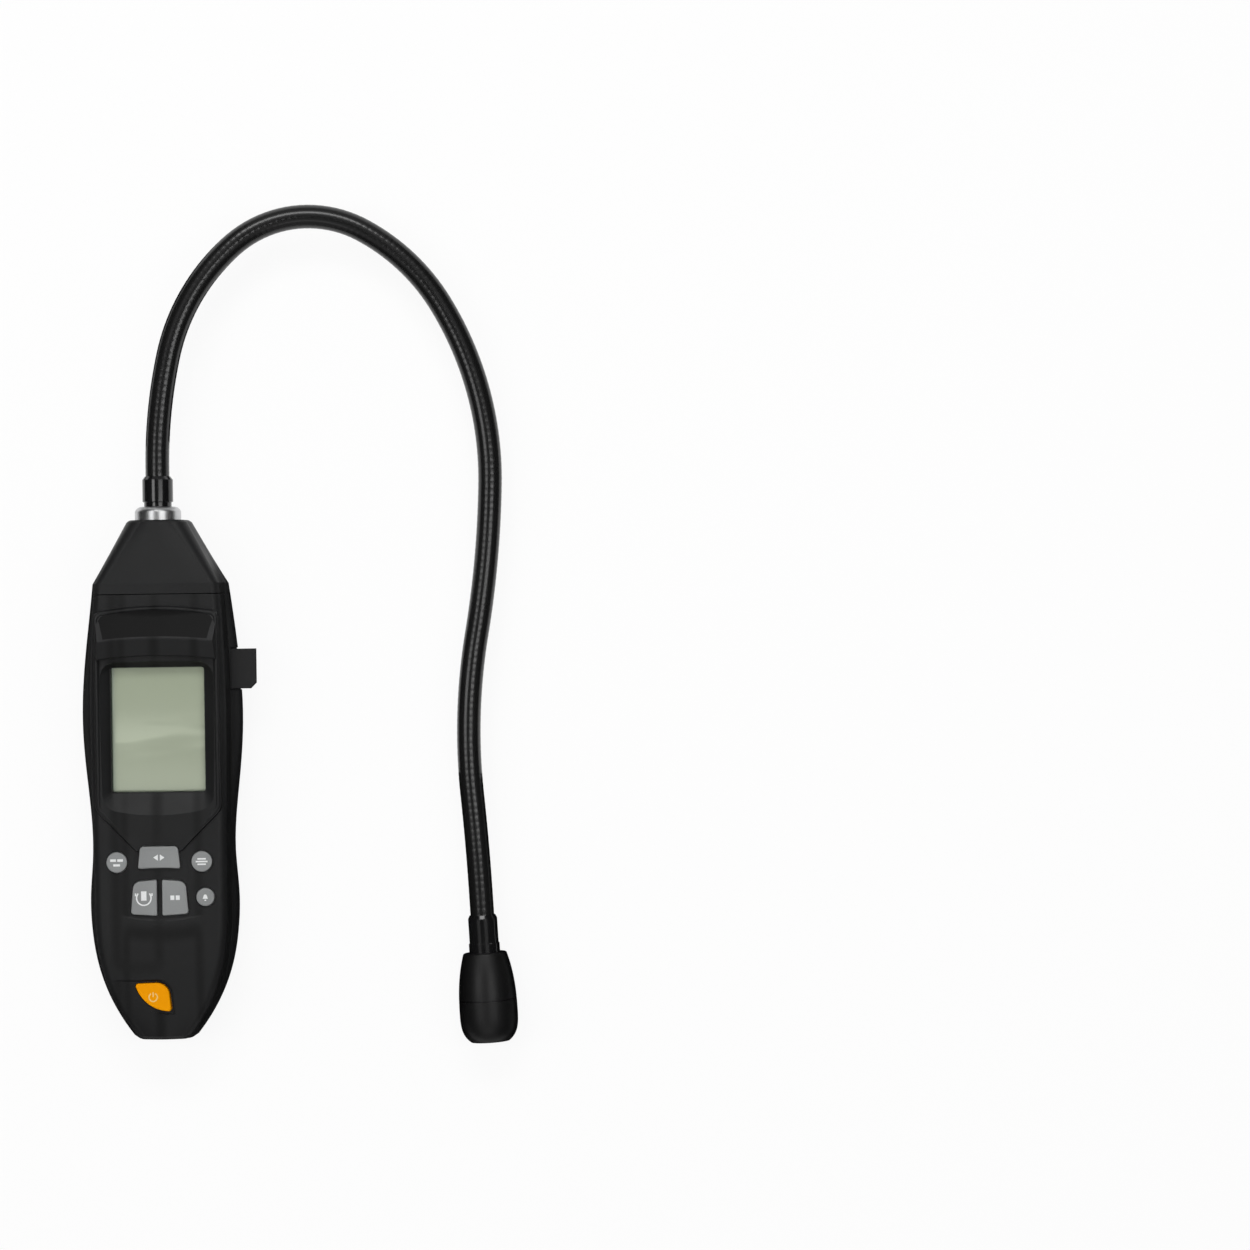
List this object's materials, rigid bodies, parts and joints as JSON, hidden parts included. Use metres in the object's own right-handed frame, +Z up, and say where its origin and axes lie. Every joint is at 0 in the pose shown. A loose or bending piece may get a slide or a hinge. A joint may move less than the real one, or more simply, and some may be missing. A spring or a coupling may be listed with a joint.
{
  "type": "gas leak detector",
  "caption": "Hand-held gas leak detector: a waisted casing with a display, press keys and a long bendable gooseneck that carries a barrel-shaped sensor probe.",
  "frame": {"origin": "on the casing's flat back, halfway along the casing and on its middle line", "axes": "the detector lies on its back: +Z up out of the display, +Y towards the nose and gooseneck, +X to the reader's right"},
  "size_m": [0.154, 0.2998, 0.0332],
  "materials": {
    "casing_plastic": "fine grained moulded plastic, charcoal",
    "key_grey": "matt moulded key, mid grey",
    "key_orange": "matt moulded key, orange",
    "window_clear": "clear hard-coated plastic window",
    "display_glass": "reflective display glass, pale grey-green",
    "light_guide": "white light guide",
    "inner_black": "black moulded inner plastic",
    "board_green": "solder resist, green",
    "contact_metal": "plated spring steel",
    "cell_jacket": "printed shrink sleeve, dark grey",
    "screw_steel": "zinc plated steel",
    "collar_chrome": "polished chrome plate",
    "nut_brass": "turned brass",
    "ferrule_black": "gloss black metal",
    "sleeve_black": "semi-gloss black sleeve, shrunk over a wound spring",
    "spring_steel": "oiled spring steel",
    "lead_jacket": "flexible lead jacket, dark grey",
    "probe_plastic": "satin moulded plastic, near black",
    "seal_rubber": "rubber ring",
    "filter_steel": "perforated stainless steel",
    "port_rubber": "soft rubber, charcoal"
  },
  "bodies": {
    "meter": {"battery_cell_1": "cell_jacket", "battery_cell_2": "cell_jacket", "battery_cell_3": "cell_jacket", "battery_cover": "casing_plastic", "board_screws": "screw_steel", "case_screws": "screw_steel", "casing_ferrule": "ferrule_black", "charging_jack": "inner_black", "collar": "collar_chrome", "collar_nut": "nut_brass", "contacts_nose_end": "contact_metal", "contacts_tail_end": "contact_metal", "controller_chip": "inner_black", "cover_screw": "screw_steel", "display_backlight": "light_guide", "display_holder": "inner_black", "display_panel": "display_glass", "display_window": "window_clear", "front_shell": "casing_plastic", "lead_header": "light_guide", "lead_plug": "light_guide", "main_board": "board_green", "nose_cover": "casing_plastic", "rear_shell": "casing_plastic", "sounder": "inner_black", "switch_left_middle": "inner_black", "switch_left_round": "inner_black", "switch_power": "inner_black", "switch_right_middle": "inner_black", "switch_right_round": "inner_black", "switch_small_round": "inner_black", "switch_wide": "inner_black"},
    "neck": {"gooseneck_sleeve": "sleeve_black", "gooseneck_spring": "spring_steel", "probe_lead": "lead_jacket"},
    "probe": {"probe_ferrule": "ferrule_black", "probe_body": "probe_plastic", "probe_cap": "probe_plastic", "probe_seal": "seal_rubber", "filter_disc": "filter_steel", "gas_sensor": "filter_steel", "sensor_socket": "inner_black"},
    "port_cover": {"port_cover": "port_rubber"},
    "key_left_middle": {"key_left_middle": "key_grey"},
    "key_left_round": {"key_left_round": "key_grey"},
    "key_power": {"key_power": "key_orange"},
    "key_right_middle": {"key_right_middle": "key_grey"},
    "key_right_round": {"key_right_round": "key_grey"},
    "key_small_round": {"key_small_round": "key_grey"},
    "key_wide": {"key_wide": "key_grey"}
  },
  "joints": [
    {"name": "neck_swing", "type": "hinge", "parent": "meter", "child": "neck", "pos_m": [0, 0.109, 0.0175], "axis": [0, 0, 1], "range_deg": [-8, 60], "deforming": ["gooseneck_sleeve", "gooseneck_spring", "probe_lead"]},
    {"name": "neck_open", "type": "hinge", "parent": "neck", "child": "probe", "pos_m": [0.054, 0.1985, 0.0142], "axis": [0, 0, 1], "range_deg": [-6, 70], "deforming": ["gooseneck_sleeve", "gooseneck_spring", "probe_lead"]},
    {"name": "press_left_middle", "type": "slide", "parent": "meter", "child": "key_left_middle", "axis": [0, 0, -1], "range_m": [0, 0.0006], "stiffness_N_per_m": 600, "springref_m": -0.0005},
    {"name": "press_left_round", "type": "slide", "parent": "meter", "child": "key_left_round", "axis": [0, 0, -1], "range_m": [0, 0.0006], "stiffness_N_per_m": 600, "springref_m": -0.0005},
    {"name": "press_power", "type": "slide", "parent": "meter", "child": "key_power", "axis": [0, 0, -1], "range_m": [0, 0.0006], "stiffness_N_per_m": 600, "springref_m": -0.0005},
    {"name": "press_right_middle", "type": "slide", "parent": "meter", "child": "key_right_middle", "axis": [0, 0, -1], "range_m": [0, 0.0006], "stiffness_N_per_m": 600, "springref_m": -0.0005},
    {"name": "press_right_round", "type": "slide", "parent": "meter", "child": "key_right_round", "axis": [0, 0, -1], "range_m": [0, 0.0006], "stiffness_N_per_m": 600, "springref_m": -0.0005},
    {"name": "press_small_round", "type": "slide", "parent": "meter", "child": "key_small_round", "axis": [0, 0, -1], "range_m": [0, 0.0006], "stiffness_N_per_m": 600, "springref_m": -0.0005},
    {"name": "press_wide", "type": "slide", "parent": "meter", "child": "key_wide", "axis": [0, 0, -1], "range_m": [0, 0.0006], "stiffness_N_per_m": 600, "springref_m": -0.0005},
    {"name": "port_cover_flap", "type": "hinge", "parent": "meter", "child": "port_cover", "pos_m": [0.0254, 0.039, 0.0161], "axis": [0, 1, 0], "range_deg": [0, 86]}
  ]
}
